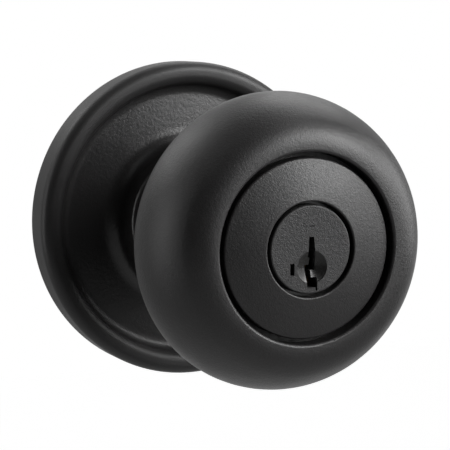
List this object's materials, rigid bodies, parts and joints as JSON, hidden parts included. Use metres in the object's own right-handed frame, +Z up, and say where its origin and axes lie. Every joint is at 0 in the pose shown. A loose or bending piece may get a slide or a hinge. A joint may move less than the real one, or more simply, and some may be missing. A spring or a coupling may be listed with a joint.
{
  "type": "keyed entry door knob",
  "caption": "Outside half of a keyed entry door knob: round dished rose, turning ball knob with a key cylinder in its face, mounting posts and spindle behind.",
  "frame": {"origin": "on the door's outer face, on the knob's axis", "axes": "+Z up, -Y out of the door along the knob's axis, +X to the user's right"},
  "size_m": [0.0666, 0.1062, 0.0666],
  "materials": {
    "black_coat": "satin",
    "black_plug": "satin",
    "zinc": "cast",
    "brass": "machined",
    "nylon": "moulded",
    "spring_steel": "drawn",
    "hard_steel": "hardened",
    "plated_steel": "zinc plated"
  },
  "bodies": {
    "trim": {"rose": "black_coat", "rose_liner": "plated_steel", "mounting_posts": "plated_steel", "spring_cage": "plated_steel", "cage_rivets": "plated_steel", "neck_bush": "nylon", "thrust_washer": "plated_steel", "return_spring": "spring_steel"},
    "knob": {"knob_shell": "black_coat", "knob_core": "zinc", "drive_sleeve": "plated_steel", "half_round_spindle": "plated_steel", "sleeve_ring": "spring_steel", "catch_bracket": "plated_steel", "catch_spring": "spring_steel", "cylinder_cover": "black_coat", "cylinder_body": "brass", "spring_washer": "spring_steel"},
    "plug": {"plug": "black_plug", "drill_pins": "hard_steel", "pin_cap": "brass", "plug_clip": "spring_steel", "torque_blade": "plated_steel", "carrier_spring": "spring_steel", "follower_spring_1": "spring_steel", "follower_spring_2": "spring_steel", "follower_spring_3": "spring_steel", "follower_spring_4": "spring_steel", "follower_spring_5": "spring_steel"},
    "carrier": {"rack_carrier": "brass", "bar_springs": "spring_steel", "rack_1": "brass", "rack_2": "brass", "rack_3": "brass", "rack_4": "brass", "rack_5": "brass"},
    "bar": {"locking_bar": "brass"},
    "catch": {"knob_catch": "hard_steel"},
    "follower_body_1": {"follower_1": "brass"},
    "follower_body_2": {"follower_2": "brass"},
    "follower_body_3": {"follower_3": "brass"},
    "follower_body_4": {"follower_4": "brass"},
    "follower_body_5": {"follower_5": "brass"}
  },
  "joints": [
    {"name": "knob_turn", "type": "hinge", "parent": "trim", "child": "knob", "pos_m": [0, 0, 0], "axis": [0, 1, 0], "range_deg": [-60, 60], "stiffness_Nm_per_rad": 0.25, "deforming": ["return_spring"]},
    {"name": "key_turn", "type": "hinge", "parent": "knob", "child": "plug", "pos_m": [0, 0, 0], "axis": [0, 1, 0], "range_deg": [0, 90]},
    {"name": "rekey_slide", "type": "slide", "parent": "plug", "child": "carrier", "axis": [0, 1, 0], "range_m": [0, 0.0016], "stiffness_N_per_m": 400, "springref_m": -0.001, "deforming": ["carrier_spring"]},
    {"name": "locking_bar_slide", "type": "slide", "parent": "carrier", "child": "bar", "axis": [1, 0, 0], "range_m": [-0.001, 0], "deforming": ["bar_springs"]},
    {"name": "catch_press", "type": "slide", "parent": "knob", "child": "catch", "axis": [0, 0, 1], "range_m": [0, 0.0016], "stiffness_N_per_m": 800, "springref_m": -0.001, "deforming": ["catch_spring"]},
    {"name": "follower_lift_1", "type": "slide", "parent": "plug", "child": "follower_body_1", "axis": [0, 0, 1], "range_m": [-0.0005, 0.0014], "stiffness_N_per_m": 40, "deforming": ["follower_spring_1"]},
    {"name": "follower_lift_2", "type": "slide", "parent": "plug", "child": "follower_body_2", "axis": [0, 0, 1], "range_m": [-0.0005, 0.0014], "stiffness_N_per_m": 40, "deforming": ["follower_spring_2"]},
    {"name": "follower_lift_3", "type": "slide", "parent": "plug", "child": "follower_body_3", "axis": [0, 0, 1], "range_m": [-0.0005, 0.0014], "stiffness_N_per_m": 40, "deforming": ["follower_spring_3"]},
    {"name": "follower_lift_4", "type": "slide", "parent": "plug", "child": "follower_body_4", "axis": [0, 0, 1], "range_m": [-0.0005, 0.0014], "stiffness_N_per_m": 40, "deforming": ["follower_spring_4"]},
    {"name": "follower_lift_5", "type": "slide", "parent": "plug", "child": "follower_body_5", "axis": [0, 0, 1], "range_m": [-0.0005, 0.0014], "stiffness_N_per_m": 40, "deforming": ["follower_spring_5"]}
  ]
}
